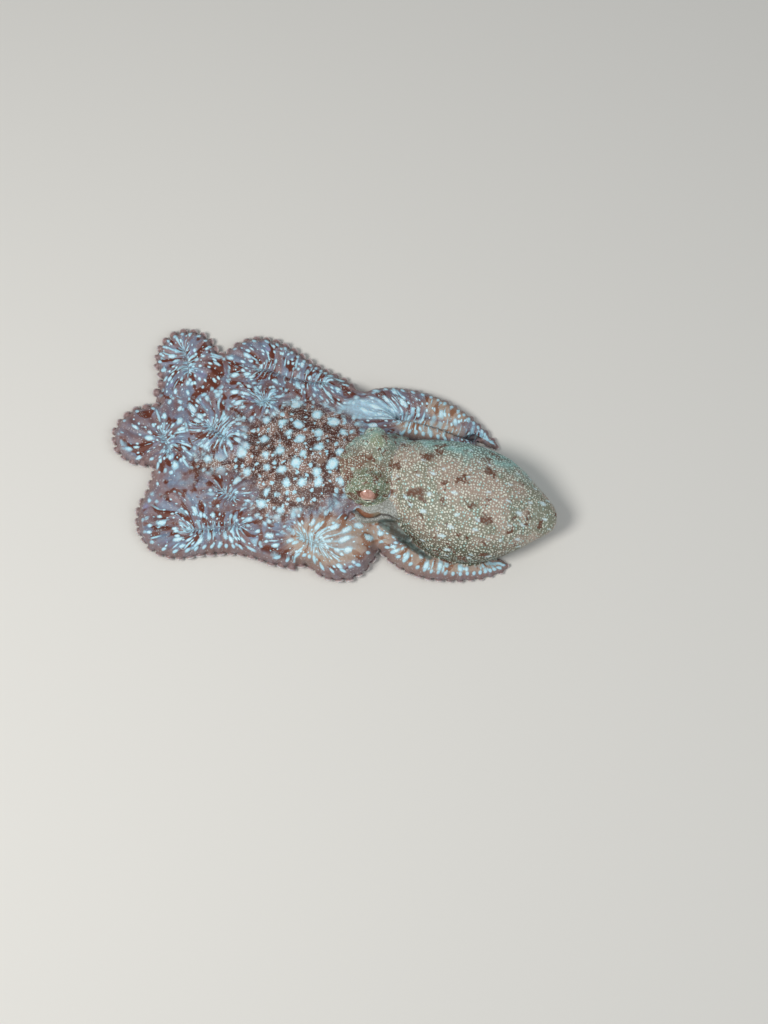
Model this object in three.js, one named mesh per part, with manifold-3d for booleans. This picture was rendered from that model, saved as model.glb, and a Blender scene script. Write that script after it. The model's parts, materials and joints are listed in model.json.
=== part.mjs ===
// Octopus crouching on its spread arms and web, life size, in millimetres, +Z up.
// It faces -X: the sac-shaped mantle trails to +X, the left side of the body is towards -Y.
// The flesh is one body parted by thin cuts: mantle, head, eyes, funnel, crown, eight arms in
// three lengths each, and the web sectors that are left between the arms.

import * as THREE from "three";
import { mergeVertices } from "three/addons/utils/BufferGeometryUtils.js";
import Module from "manifold-3d";

const wasm = await Module();
wasm.setup();

// ---- driving dimensions -------------------------------------------------------------------
const CUT = 0.3; // width of the thin cuts that part the flesh
const GROUND = new THREE.Vector3(400, 400, 60); // slab that levels the soles
const ARM_STEP = 4.6; // spacing of the sections along an arm

// Mantle: its axis runs from the neck to the pointed rear end.
const MANTLE_START = new THREE.Vector2(24, -16);
const MANTLE_HEADING = THREE.MathUtils.degToRad(-12.5);
const MANTLE_SIDES = 20;
const MANTLE_WIDEST = 0.4; // where it is widest, as a share of the height from its underside
const MANTLE_BELLY = 1.12; // how far the belly is pressed flat on the ground
const MANTLE_BILGE = 0.72; // below 1 the side turns sharply into the belly
// distance along the axis, shift towards the left side, half width, top and underside heights
const MANTLE_SECTIONS = [
  [-1, -6, 11, 20.6, 4],
  [3, -5.2, 15, 24, 1.6],
  [9, -2.8, 20.4, 27.4, 0],
  [19, 0.4, 25.2, 30.6, 0],
  [31, 2, 27.6, 32.2, 0],
  [42, 2, 27, 31.8, 0],
  [51, 1.6, 24.2, 29.6, 0],
  [59, 1.2, 19, 26.4, 0.8],
  [66, 0.9, 13.2, 22.4, 2.6],
  [72, 0.8, 7.8, 18.4, 5],
  [76, 0.8, 3.8, 15.4, 7.6],
];

// Head: a core between the neck and the crown, the neck's right side that shows between the eye
// and the mantle, and a turret round each eye.
const HEAD_CENTRE = new THREE.Vector3(14, -10.8, 13);
const HEAD_RADII = new THREE.Vector3(18, 14.5, 13);
const NECK_CENTRE = new THREE.Vector3(27.5, 1, 8.5);
const NECK_RADII = new THREE.Vector3(8.5, 6.5, 9.5);
const TURRET_RADII = new THREE.Vector3(10.4, 8.6, 9.6);
const HEAD_FACETS = [14, 9]; // facets round and from pole to pole
const SMALL_FACETS = [12, 8];
const FILL_FACETS = [8, 6]; // of the neck and the funnel's collar, which are mostly hidden
const EYE_RADIUS = 5;
const EYE_OUTWARD = 4.4; // how far the eyeball sits out from the middle of its turret
const EYE_TILT = THREE.MathUtils.degToRad(42); // how far each eye looks up
const EYES = [
  { side: "left", turret: new THREE.Vector3(14.8, -19.4, 18.2), sign: -1 },
  { side: "right", turret: new THREE.Vector3(18, -2.2, 18.6), sign: 1 },
];

// Funnel: a tapered tube that leaves the mantle's mouth below the left eye, and the low collar
// at its root that closes the mantle's mouth.
const FUNNEL_POINTS = [
  [33, -28.5, 11.5],
  [25, -29, 12.6],
  [17, -29.8, 12.4],
  [10.5, -30.2, 11],
];
const FUNNEL_ROOT_RADIUS = 5;
const FUNNEL_TIP_RADIUS = 3.5;
const FUNNEL_BORE = 0.6; // bore radius as a share of the outer one
const FUNNEL_BORE_DEPTH = 6;
const FUNNEL_STEPS = 5;
const FUNNEL_SIDES = 12;
const FUNNEL_BORE_SIDES = 8;
const COLLAR_CENTRE = new THREE.Vector3(30, -34, 4);
const COLLAR_RADII = new THREE.Vector3(7.5, 9, 6);

// The drape: one dome-shaped height over the whole spread, highest beside the head.
const DRAPE_CENTRE = new THREE.Vector2(-2, -11);
const DRAPE_RISE = 17;
const DRAPE_RIM = 5;
const DRAPE_REACH = new THREE.Vector2(45, 38);
// The drape sinks into a hollow below the funnel.
const HOLLOW_CENTRE = new THREE.Vector2(17, -33);
const HOLLOW_DEPTH = 6.5;
const HOLLOW_REACH = new THREE.Vector2(15, 9);
const ARM_RIDGE = 1.3; // how far an arm's back stands above the web

// Crown: where the eight arms join round the hidden mouth.
const CROWN_CENTRE = new THREE.Vector2(-7, -10);
const CROWN_RADII = new THREE.Vector2(18, 20);
const CROWN_RINGS = [0.3, 0.55, 0.78, 1]; // shares of the way from the centre to the edge
const CROWN_RISE = 1.6;
const CROWN_CLEARANCE = 20; // height over the crown that the arms and web keep clear of
const CROWN_SIDES = 18;

// Web: a blanket whose edge runs along the middles of the arms. Plan points, anticlockwise.
const WEB_CENTRE = new THREE.Vector2(-30, 0);
const WEB_OUTLINE = [
  [27, 15], [19, 25.5], [4.5, 33], [-6.5, 38], [-23, 47.5], [-34.5, 51], [-45.5, 48.5],
  [-54, 46.5], [-61, 53], [-68.5, 56], [-76.5, 52], [-78.5, 44.5], [-76, 36], [-80, 30],
  [-77.5, 25.5], [-81, 20.5], [-90.5, 17], [-96.5, 9.5], [-91, 1], [-81.5, -4], [-82, -10],
  [-84, -18], [-82, -28], [-78.5, -38], [-71, -42], [-57, -41], [-42, -42], [-26, -47.5], [-15.5, -50.5],
  [-7.5, -51.5], [3.5, -53.5], [12, -46.5], [14, -38], [18, -33], [12, -25], [15, -12],
];
const WEB_RINGS = [0.35, 0.68, 1];
const WEB_SEGMENTS = 28;
// The sectors that the arms part the web into, each with the middle of its plan extent.
const WEB_SECTORS = [
  { name: "web_front", at: [-50, 24] },
  { name: "web_front_right", at: [-53, 44] },
  { name: "web_right", at: [-14, 27] },
  { name: "web_rear_right", at: [15, 13] },
  { name: "web_rear", at: [16.5, -7] },
  { name: "web_left", at: [-33, -37.5] },
  { name: "web_front_left", at: [-58, -3] },
];

// Arms, from the front pair (1) to the rear pair (4). Plan points from the crown to the tip, and
// half widths at the root, the middle and the tip. Most arms turn back on themselves in a hairpin.
const ARMS = [
  {
    name: "right_1",
    half: [7.6, 6.2, 3.6],
    plan: [
      [-16, 3], [-32.5, 18], [-49, 32], [-59, 42.5], [-61.5, 51.5], [-68.5, 56.5], [-76, 53],
      [-78.5, 45], [-75.5, 38], [-77.5, 33], [-80, 28.5],
    ],
  },
  {
    name: "right_2",
    half: [7.4, 6.2, 2.6],
    plan: [
      [-9, 4], [-24.5, 17], [-39, 29.5], [-47, 40.5], [-43.5, 49.5], [-34.5, 52], [-24.5, 48.5],
      [-15.5, 42.5], [-5, 37.5], [5.5, 33.5],
    ],
  },
  {
    name: "right_3",
    half: [7.2, 6.6, 1.8],
    plan: [
      [-1, 6], [9, 19], [20, 25.5], [32, 25.2], [45.5, 21.8], [56.5, 16.8], [65.5, 10.6], [72.5, 5.4],
    ],
  },
  {
    name: "right_4",
    half: [7, 5.8, 2.6],
    plan: [
      [4, 2], [14, 10], [27, 12.6], [40, 11.6], [54, 8], [65, 1.8],
    ],
  },
  {
    name: "left_1",
    half: [7.6, 6.4, 3],
    plan: [
      [-19.5, -6], [-46, 2.5], [-66, 11.5], [-79.5, 18], [-90.5, 16.8], [-96, 9], [-91, 1.5],
      [-81.5, -0.8], [-74, -3],
    ],
  },
  {
    name: "left_2",
    half: [7.6, 6.4, 2.8],
    plan: [
      [-18.5, -15], [-41.5, -17.5], [-59.5, -18], [-75.5, -18], [-82, -27.5], [-79, -38],
      [-70.5, -42], [-57, -40.5], [-42, -41.5], [-27, -47], [-17.5, -50],
    ],
  },
  {
    name: "left_3",
    half: [7.4, 6.2, 3],
    plan: [
      [-3.5, -22], [5.5, -29], [12, -38], [11.5, -47.5], [3.5, -53], [-6, -51], [-12, -45],
    ],
  },
  {
    name: "left_4",
    half: [7, 5.8, 2.8],
    plan: [
      [4, -20], [17, -30], [26.5, -43], [38, -50.5], [53.5, -53.3], [67, -53], [75, -51],
    ],
  },
];
const LENGTHS = ["root", "middle", "tip"];
const TAPER_FROM = 0.55; // share of the arm's length where it starts to thin
const TAPER_CURVE = 1.6; // above 1 the thinning is left for the last stretch
const TIP_HEIGHT = 0.5; // share of the drape height that is left at an arm's tip
const TIP_NOSE = 0.7; // length of the closing nose, as a share of the tip's half width
const NOSE_WIDTH = 0.55; // its width and height, as shares of the tip's

// Arm section: a low arch on a flat sole, as shares of the half width and of the height.
const ARM_SECTION = [
  [-0.82, 0], [0.82, 0], [1, 0.4], [0.7, 0.84], [0, 1], [-0.7, 0.84], [-1, 0.4],
];

const COLOURS = {
  mantle: 0x9a9484,
  head: 0x939680,
  eye: 0xc08a78,
  funnel: 0x9aa09a,
  crown: 0x8f8c8c,
  arm: 0x8a7a7c,
  web: 0x86787c,
};

// ---- shape helpers ------------------------------------------------------------------------
// A bell shape of height 1 over the plan.
function bell(x, y, centre, reach) {
  const u = (x - centre.x) / reach.x;
  const v = (y - centre.y) / reach.y;
  return Math.exp(-u * u - v * v);
}

function drapeHeight(x, y) {
  const rise = DRAPE_RISE * bell(x, y, DRAPE_CENTRE, DRAPE_REACH);
  const hollow = HOLLOW_DEPTH * bell(x, y, HOLLOW_CENTRE, HOLLOW_REACH);
  return DRAPE_RIM + rise - hollow;
}

// A closed skin over rings that all have the same number of points, wound anticlockwise when
// looked at against the direction in which the rings follow each other.
function loft(rings) {
  const count = rings[0].length;
  const points = rings.flat();
  const faces = [];
  for (let r = 0; r + 1 < rings.length; r++) {
    for (let i = 0; i < count; i++) {
      const a = r * count + i;
      const b = r * count + ((i + 1) % count);
      faces.push(a, b, b + count, a, b + count, a + count);
    }
  }
  for (const [ring, reversed] of [[0, true], [rings.length - 1, false]]) {
    const middle = new THREE.Vector3();
    rings[ring].forEach((p) => middle.addScaledVector(p, 1 / count));
    const hub = points.push(middle) - 1;
    for (let i = 0; i < count; i++) {
      const a = ring * count + i;
      const b = ring * count + ((i + 1) % count);
      faces.push(...(reversed ? [b, a, hub] : [a, b, hub]));
    }
  }
  const geometry = new THREE.BufferGeometry().setFromPoints(points);
  geometry.setIndex(faces);
  return geometry;
}

function solidOf(geometry) {
  const bare = geometry.clone();
  bare.deleteAttribute("normal");
  bare.deleteAttribute("uv");
  const merged = mergeVertices(bare, 1e-4);
  const solid = new wasm.Manifold(
    new wasm.Mesh({
      numProp: 3,
      vertProperties: new Float32Array(merged.attributes.position.array),
      triVerts: new Uint32Array(merged.index.array),
    }),
  );
  if (solid.volume() <= 0) throw new Error("a solid was built inside out");
  return solid;
}

function geometryOf(solid) {
  const mesh = solid.getMesh();
  const points = [];
  for (let i = 0; i < mesh.numVert; i++) {
    const at = i * mesh.numProp;
    points.push(new THREE.Vector3(...mesh.vertProperties.subarray(at, at + 3)));
  }
  const geometry = new THREE.BufferGeometry().setFromPoints(points);
  geometry.setIndex(new THREE.BufferAttribute(new Uint32Array(mesh.triVerts), 1));
  return geometry;
}

// Plan distance from the middle of a solid's bounding box to a point.
function distanceTo(solid, [x, y]) {
  const { min, max } = solid.boundingBox();
  return Math.hypot((min[0] + max[0]) / 2 - x, (min[1] + max[1]) / 2 - y);
}

function largestBody(solid) {
  return solid.decompose().reduce((a, b) => (b.volume() > a.volume() ? b : a));
}

// ---- mantle, head, eyes and funnel ----------------------------------------------------------
// grow makes each shape that much larger all round, to cut its neighbours with a gap.
function mantleSolid(grow) {
  const forward = new THREE.Vector2(Math.cos(MANTLE_HEADING), Math.sin(MANTLE_HEADING));
  const last = MANTLE_SECTIONS.length - 1;
  const rings = MANTLE_SECTIONS.map(([distance, sideways, half, top, under], index) => {
    const shift = index === 0 ? -grow : index === last ? grow : 0;
    const widest = under + MANTLE_WIDEST * (top - under);
    const ring = [];
    for (let i = 0; i < MANTLE_SIDES; i++) {
      const angle = (2 * Math.PI * i) / MANTLE_SIDES;
      const rise = Math.sin(angle);
      const side = (half + grow) * Math.cos(angle) - sideways;
      const sag = Math.min(1, MANTLE_BELLY * Math.pow(Math.abs(rise), MANTLE_BILGE));
      const z = rise >= 0
        ? widest + (top + grow - widest) * rise
        : widest - (widest - under + grow) * sag;
      ring.push(
        new THREE.Vector3(
          MANTLE_START.x + forward.x * (distance + shift) - forward.y * side,
          MANTLE_START.y + forward.y * (distance + shift) + forward.x * side,
          z,
        ),
      );
    }
    return ring;
  });
  return solidOf(loft(rings));
}

function ellipsoidSolid(centre, radii, grow, facets) {
  const geometry = new THREE.SphereGeometry(1, ...facets);
  geometry.rotateX(Math.PI / 2);
  geometry.scale(radii.x + grow, radii.y + grow, radii.z + grow);
  geometry.translate(centre.x, centre.y, centre.z);
  return solidOf(geometry);
}

// A thick slab with its top at z = -grow, to level the soles.
function groundSolid(grow) {
  const slab = new THREE.BoxGeometry(GROUND.x, GROUND.y, GROUND.z);
  slab.translate(0, 0, -GROUND.z / 2 - grow);
  return solidOf(slab);
}

function headSolid(grow) {
  let head = ellipsoidSolid(HEAD_CENTRE, HEAD_RADII, grow, HEAD_FACETS)
    .add(ellipsoidSolid(NECK_CENTRE, NECK_RADII, grow, FILL_FACETS));
  for (const eye of EYES) {
    head = head.add(ellipsoidSolid(eye.turret, TURRET_RADII, grow, SMALL_FACETS));
  }
  return head.subtract(groundSolid(grow));
}

function eyeCentre(eye) {
  const gaze = new THREE.Vector3(0, eye.sign * Math.cos(EYE_TILT), Math.sin(EYE_TILT));
  return eye.turret.clone().addScaledVector(gaze, EYE_OUTWARD);
}

function eyeSolid(eye, grow) {
  const radii = new THREE.Vector3(EYE_RADIUS, EYE_RADIUS, EYE_RADIUS);
  return ellipsoidSolid(eyeCentre(eye), radii, grow, SMALL_FACETS);
}

function tubeRings(curve, radiusAt, steps, sides) {
  const rings = [];
  for (let k = 0; k <= steps; k++) {
    const at = k / steps;
    const middle = curve.getPointAt(at);
    const ahead = curve.getTangentAt(at);
    const left = new THREE.Vector3(-ahead.y, ahead.x, 0).normalize();
    const up = new THREE.Vector3().crossVectors(ahead, left);
    const radius = radiusAt(at);
    const ring = [];
    for (let i = 0; i < sides; i++) {
      const angle = (2 * Math.PI * i) / sides;
      ring.push(
        middle.clone()
          .addScaledVector(left, radius * Math.cos(angle))
          .addScaledVector(up, radius * Math.sin(angle)),
      );
    }
    rings.push(ring);
  }
  return rings;
}

function funnelSolid(grow) {
  const route = new THREE.CatmullRomCurve3(
    FUNNEL_POINTS.map((p) => new THREE.Vector3(...p)), false, "centripetal",
  );
  const radiusAt = (at) =>
    THREE.MathUtils.lerp(FUNNEL_ROOT_RADIUS, FUNNEL_TIP_RADIUS, at) + grow;
  const collar = ellipsoidSolid(COLLAR_CENTRE, COLLAR_RADII, grow, FILL_FACETS);
  const tube = solidOf(loft(tubeRings(route, radiusAt, FUNNEL_STEPS, FUNNEL_SIDES)))
    .add(collar.subtract(groundSolid(grow)));
  if (grow > 0) return tube;
  const share = 1 - FUNNEL_BORE_DEPTH / route.getLength();
  const bore = new THREE.CatmullRomCurve3(
    [route.getPointAt(share), route.getPointAt(1).add(route.getTangentAt(1))],
  );
  const boreRadius = FUNNEL_BORE * FUNNEL_TIP_RADIUS;
  const hole = tubeRings(bore, () => boreRadius, 2, FUNNEL_BORE_SIDES);
  return tube.subtract(solidOf(loft(hole)));
}

// ---- crown, arms and web --------------------------------------------------------------------
// A flat-soled dome over a plan outline. Its top is lift above the drape, and rise more in the
// middle.
function domeSolid(centre, outline, shares, rise, lift) {
  const rings = shares.map((share) =>
    outline.map((p) => {
      const x = THREE.MathUtils.lerp(centre.x, p.x, share);
      const y = THREE.MathUtils.lerp(centre.y, p.y, share);
      const z = drapeHeight(x, y) + lift + rise * (1 - share * share);
      return new THREE.Vector3(x, y, z);
    }),
  );
  const sole = outline.map((p) => new THREE.Vector3(p.x, p.y, 0));
  return solidOf(loft([sole, ...rings.reverse()]));
}

function crownSolid(grow, lift) {
  const outline = [];
  for (let i = 0; i < CROWN_SIDES; i++) {
    const angle = (2 * Math.PI * i) / CROWN_SIDES;
    outline.push(
      new THREE.Vector2(
        CROWN_CENTRE.x + (CROWN_RADII.x + grow) * Math.cos(angle),
        CROWN_CENTRE.y + (CROWN_RADII.y + grow) * Math.sin(angle),
      ),
    );
  }
  return domeSolid(CROWN_CENTRE, outline, CROWN_RINGS, CROWN_RISE, lift);
}

function webSolid() {
  const edge = new THREE.CatmullRomCurve3(
    WEB_OUTLINE.map(([x, y]) => new THREE.Vector3(x, y, 0)), true, "centripetal",
  );
  const outline = edge.getSpacedPoints(WEB_SEGMENTS).slice(0, WEB_SEGMENTS);
  return domeSolid(WEB_CENTRE, outline, WEB_RINGS, 0, 0);
}

function armHalfWidth(arm, at) {
  const [root, middle, tip] = arm.half;
  if (at < TAPER_FROM) return THREE.MathUtils.lerp(root, middle, at / TAPER_FROM);
  const along = (at - TAPER_FROM) / (1 - TAPER_FROM);
  return THREE.MathUtils.lerp(middle, tip, Math.pow(along, TAPER_CURVE));
}

function armRing(arm, route, at, grow, shift) {
  const ahead = route.getTangentAt(at);
  const middle = route.getPointAt(at).addScaledVector(ahead, shift);
  const left = new THREE.Vector3(-ahead.y, ahead.x, 0);
  const thin = Math.max(0, (at - TAPER_FROM) / (1 - TAPER_FROM));
  const share = THREE.MathUtils.lerp(1, TIP_HEIGHT, thin * thin);
  const height = (drapeHeight(middle.x, middle.y) + ARM_RIDGE) * share + grow;
  const half = armHalfWidth(arm, at) + grow;
  return ARM_SECTION.map(([across, up]) =>
    middle.clone()
      .addScaledVector(left, across * half)
      .setZ(up === 0 ? -grow : up * height),
  );
}

// The stretch of an arm between two shares of its length.
function armSolid(arm, from, to, grow) {
  const route = new THREE.CatmullRomCurve3(
    arm.plan.map(([x, y]) => new THREE.Vector3(x, y, 0)), false, "centripetal",
  );
  const length = route.getLength();
  const start = from + (from > 0 ? CUT / 2 / length : 0);
  const end = to - (to < 1 ? CUT / 2 / length : 0);
  const steps = Math.max(2, Math.round(((end - start) * length) / ARM_STEP));
  const rings = [];
  for (let k = 0; k <= steps; k++) {
    const at = THREE.MathUtils.lerp(start, end, k / steps);
    const shift = k === 0 ? -grow : k === steps ? grow : 0;
    rings.push(armRing(arm, route, at, grow, shift));
  }
  if (to === 1) {
    const tip = rings[rings.length - 1];
    const middle = new THREE.Vector3();
    tip.forEach((p) => middle.addScaledVector(p, 1 / tip.length));
    const beyond = route.getTangentAt(1).multiplyScalar(arm.half[2] * TIP_NOSE);
    const nose = tip.map((p) => {
      const low = Math.min(p.z, Math.max(p.z * NOSE_WIDTH, -grow));
      return middle.clone().lerp(p, NOSE_WIDTH).add(beyond).setZ(low);
    });
    rings.push(nose);
  }
  return solidOf(loft(rings));
}

// ---- assembly -------------------------------------------------------------------------------
const pieces = []; // { name, solid, colour }
const mantleGrown = mantleSolid(CUT);
const headGrown = headSolid(CUT);
const funnelGrown = funnelSolid(CUT);
const crownGrown = crownSolid(CUT, CROWN_CLEARANCE);

pieces.push({ name: "mantle", solid: mantleSolid(0), colour: COLOURS.mantle });
pieces.push({
  name: "funnel",
  solid: largestBody(funnelSolid(0).subtract(mantleGrown).subtract(headGrown)),
  colour: COLOURS.funnel,
});

let head = headSolid(0).subtract(mantleGrown);
for (const eye of EYES) {
  head = head.subtract(eyeSolid(eye, CUT));
  pieces.push({ name: `eye_${eye.side}`, solid: eyeSolid(eye, 0), colour: COLOURS.eye });
}
pieces.push({ name: "head", solid: largestBody(head), colour: COLOURS.head });

let neighbours = mantleGrown.add(headGrown).add(funnelGrown);
pieces.push({
  name: "arm_crown",
  solid: largestBody(crownSolid(0, 0).subtract(neighbours)),
  colour: COLOURS.crown,
});
neighbours = neighbours.add(crownGrown);

for (const arm of ARMS) {
  let grownArm = neighbours;
  for (let k = 0; k < LENGTHS.length; k++) {
    const from = k / LENGTHS.length;
    const to = (k + 1) / LENGTHS.length;
    pieces.push({
      name: `arm_${arm.name}_${LENGTHS[k]}`,
      solid: largestBody(armSolid(arm, from, to, 0).subtract(neighbours)),
      colour: COLOURS.arm,
    });
    grownArm = grownArm.add(armSolid(arm, from, to, CUT));
  }
  neighbours = grownArm;
}

const webScraps = webSolid().subtract(neighbours).decompose();
for (const { name, at } of WEB_SECTORS) {
  const solid = webScraps.reduce((a, b) => (distanceTo(b, at) < distanceTo(a, at) ? b : a));
  pieces.push({ name, solid, colour: COLOURS.web });
}

const octopus = new THREE.Group();
for (const { name, solid, colour } of pieces) {
  const material = new THREE.MeshStandardMaterial({ color: colour, roughness: 0.5, metalness: 0 });
  const mesh = new THREE.Mesh(geometryOf(solid), material);
  mesh.name = name;
  octopus.add(mesh);
}

// The origin is the middle of the footprint, on the ground.
const extent = new THREE.Box3().setFromObject(octopus);
const middle = extent.getCenter(new THREE.Vector3());
octopus.position.set(-middle.x, -middle.y, -extent.min.z);

export default octopus;
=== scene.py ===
import json
import math

import bpy
import numpy as np
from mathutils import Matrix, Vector, noise
from mathutils.bvhtree import BVHTree
from mathutils.kdtree import KDTree

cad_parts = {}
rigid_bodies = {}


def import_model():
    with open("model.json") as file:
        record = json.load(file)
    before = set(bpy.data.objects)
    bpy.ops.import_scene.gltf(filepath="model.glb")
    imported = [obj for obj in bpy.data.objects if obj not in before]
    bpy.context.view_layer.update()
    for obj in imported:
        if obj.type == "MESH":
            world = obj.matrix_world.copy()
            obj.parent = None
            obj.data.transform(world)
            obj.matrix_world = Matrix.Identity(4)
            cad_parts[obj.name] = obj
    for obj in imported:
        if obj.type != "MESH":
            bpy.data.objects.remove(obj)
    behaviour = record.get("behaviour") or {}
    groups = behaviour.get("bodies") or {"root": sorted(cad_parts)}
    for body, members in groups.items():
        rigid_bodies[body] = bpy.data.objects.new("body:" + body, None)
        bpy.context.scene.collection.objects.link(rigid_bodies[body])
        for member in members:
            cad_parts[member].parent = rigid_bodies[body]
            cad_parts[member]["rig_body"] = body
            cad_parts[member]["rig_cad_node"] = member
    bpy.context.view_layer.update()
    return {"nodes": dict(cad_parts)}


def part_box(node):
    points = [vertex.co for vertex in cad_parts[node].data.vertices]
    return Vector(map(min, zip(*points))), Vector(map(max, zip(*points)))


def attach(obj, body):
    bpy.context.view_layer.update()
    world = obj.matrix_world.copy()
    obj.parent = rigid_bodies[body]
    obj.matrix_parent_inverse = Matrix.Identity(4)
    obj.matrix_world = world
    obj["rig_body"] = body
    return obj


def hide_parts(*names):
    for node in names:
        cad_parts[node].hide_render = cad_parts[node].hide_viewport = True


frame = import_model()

MM = 0.001

# ---- sizes, in millimetres in the frame of the solids ----
GRAIN = 0.68  # edge length of the skin's mesh
MERGE_GAP = 0.02  # corners of a solid nearer than this are one
MANTLE_SWELL = 0.3  # gives back what the mantle's rounding takes off
BRIDGE = 0.25  # how far the solids swell so that they meet across their cuts
SMOOTHINGS = 26
NECK_SOFTENINGS = 60
SOLE_HEIGHT = 0.35  # all that lies lower is pressed flat on the ground
SOLE_SHARE = 0.06  # of the sole's faces that stay

# Eyes: the ball, and the almond between the lids.
EYE_RADIUS = 4.75
EYE_FORWARD = 0.25  # how far the ball stands out from the middle of its solid
EYE_LEAN = math.radians(42)  # the way in which it stands out, above level
EYE_ZONES = (8.5, 7.2)  # radii round an eye in which the skin's mesh gets finer
LID_REACH = 9  # how far from an eye's middle its lids may reach
LID_THICKNESS = 0.5
# The folds that ring the lids: distance from the lids' edge, half width and height.
LID_FOLDS = [(0.7, 0.45, 0.3), (1.9, 0.4, -0.28), (2.9, 0.5, 0.2)]
INNER_DEPTH = 1.1  # how far below the ball's surface the skin runs inside the lids
CORNER_HALF_LENGTH = 6.2  # of the wider almond whose two ends are the brown corners
CORNER_HALF_HEIGHT = 2.0
# Each eye's almond: the side of the head, the tilt, and how far it opens above and below.
ALMOND_HALF_LENGTH = 3.4
EYES = {
    "left": {"side": -1, "tilt": 46, "upper": 2.5, "lower": 2.8},
    "right": {"side": 1, "tilt": 10, "upper": 1.9, "lower": 2.4},
}
# The cornea: what lies beyond each share of the radius rises by so much.
CORNEA_STEPS = ((0.5, 0.12), (0.66, 0.12), (0.8, 0.1), (0.9, 0.06))
EYE_SLANT = math.radians(-14)  # heading of the almonds in plan
PUPIL_TILT = math.radians(17)  # how far above level the slit of the pupil looks
PUPIL_HALF_LENGTH = 2.2
PUPIL_HALF_HEIGHT = 0.42

# Creases that the pleats of the web run out from: both ends in plan, the number of pleats round
# the crease, and how far they reach.
CREASES = [
    ((-69.7, 50.8), (-66.5, 38.8), 20, 17),
    ((-34.6, 40.3), (-2.6, 31.7), 34, 15),
    ((-34.6, 22.8), (-29.9, 24.6), 22, 17),
    ((-56.7, 12.4), (-47.9, 5.6), 24, 18),
    ((-76.3, 8.8), (-74.6, 1.0), 18, 19),
    ((-64.4, -36.4), (-41.3, -37.4), 30, 18),
    ((-13.5, -43.2), (-4.5, -46.2), 24, 26),
    ((28.5, 15.3), (71.5, 6.2), 44, 17),
    ((-50.3, -19.6), (-43.3, -24.2), 14, 13),
    ((-17.5, -40.2), (-16.5, -42.7), 12, 9),
    ((31.4, -41.3), (71.4, -51.3), 44, 13),
]
PLEAT_DEPTH = 0.2  # as a share of the distance between two pleats
DEEPEST_PLEAT = 0.75
LONG_CREASE = 40  # pleats round a trailing arm's crease, where they are shallower
LONG_CREASE_SHARE = 0.55
CREASE_DEPTH = 1.7
CREASE_HALF_WIDTH = 1.6
VALLEY_DEPTH = 0.45  # between the pleats of two creases
VALLEY_HALF_WIDTH = 0.3
GROOVE_DEPTH = 0.7  # between the mantle and the arms
SWAYS = (0.7, 0.35)  # how far the pleats stray from a straight run, in long and short swings
RIM_HEIGHT = 1.5  # level at which the outline is followed
RIM_STEPS = 8  # marks along the outline for each sucker
SHORTEST_RIM = 40  # in edges of the outline
SUCKER_PITCH = 4.7
SUCKER_RADIUS = 2.1
SUCKER_SIZES = (0.88, 1.08)  # drawn at random, in shares of the radius
SUCKER_DROOPS = (34, 48)  # degrees below level, drawn at random
SUCKER_INSET = 0.45  # share of its radius by which a sucker sits back in the rim
SUCKER_ROOM = 3.2  # free space that a sucker needs in front of it
STALK_RADIUS = 0.62  # as the next line, in shares of a sucker's radius
CUP_RINGS = ((0.16, 1.3), (0.26, 1.2), (0.12, 1.02), (-0.06, 0.8), (-0.34, 0.6))  # rise, widening
SMALL_SUCKERS = (35, 75)  # where along the trailing arms the suckers get smaller
SHRINK = 0.45  # by how much
SCALLOP = 0.4  # how far the rims swing in and out between the suckers
UNEVENNESS = 0.45  # slow swells of the mantle and the head
MANTLE_HEADING = math.radians(-12.5)
WAIST = 0.4  # the mantle's widest level, as a share of its height
ARC_STEPS = 12  # in which the way round the mantle is added up
# Ovals in plan, each with its middle, half length and half width: the rust-brown back between the
# creases, the quiet stretch by the front left arms, the bright areas with their weight, the ochre.
SADDLE = ((-23, -6), 51, 38)
QUIET = ((-66.3, -16.8), 17, 9)
BRIGHT = [((16, 17.5), 18, 8, 1), ((3, -45.5), 13, 8, 0.5)]
OCHRE = [((-1.3, -44.8), 20, 12), ((19.7, -38), 12, 10), ((43.7, 9.5), 17, 5), ((54, 21), 14, 8),
         ((52, -50), 30, 9)]
# The hollow below the funnel and along the mantle's foot, where the skin is painted dark as shade:
# a line, and its half width.
HOLLOW = ([(23.5, -35.5, 11), (30, -39.5, 9.5), (34.5, -44, 9), (43, -49, 9)], 3.2)
# Cuts in the skin, each a line with its half width and depth: the edge under the funnel, the fold
# before its tip, and the slit between the last two right arms, which is a line in plan. The skin is
# also painted dark along them, as shade.
FUNNEL_EDGE = [(11.3, -32.1, 14.6), (13, -33.9, 14.2), (14.9, -34.9, 13.3), (18.1, -35.1, 13.6),
               (21.9, -33.8, 15.6), (25.2, -34.1, 15.2), (29.1, -35.3, 12), (32.5, -37.5, 11)]
SLIT = [(28.5, 16.4), (30.3, 14.7), (35.8, 13.5), (43.9, 11.6), (51.7, 9.3), (60.8, 7.3), (66, 6)]
CUTS = [(FUNNEL_EDGE, 0.7, 1.5),
        ([(10.8, -31.5, 14.7), (8.1, -32.1, 15.1), (6.8, -35.3, 15)], 0.6, 0.8),
        (SLIT, 0.75, 2.4)]
YELLOW_SPOT = (20.2, -2.8, 27)
FUNNEL_TIP_LINE = [(11.6, -31.6, 14.8), (14.2, -33.4, 14.6), (17.4, -34.2, 14.6),
                   (20.5, -33.6, 15.4)]


# ---- small helpers ----
def only(*things):
    """Deselects everything and then selects these objects, the last one active."""
    bpy.ops.object.select_all(action="DESELECT")
    for thing in things:
        thing.select_set(True)
        bpy.context.view_layer.objects.active = thing


def edit(thing):
    only(thing)
    bpy.ops.object.mode_set(mode="EDIT")


def edit_all(thing):
    edit(thing)
    bpy.ops.mesh.select_all(action="SELECT")


def leave():
    bpy.ops.object.mode_set(mode="OBJECT")


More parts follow.
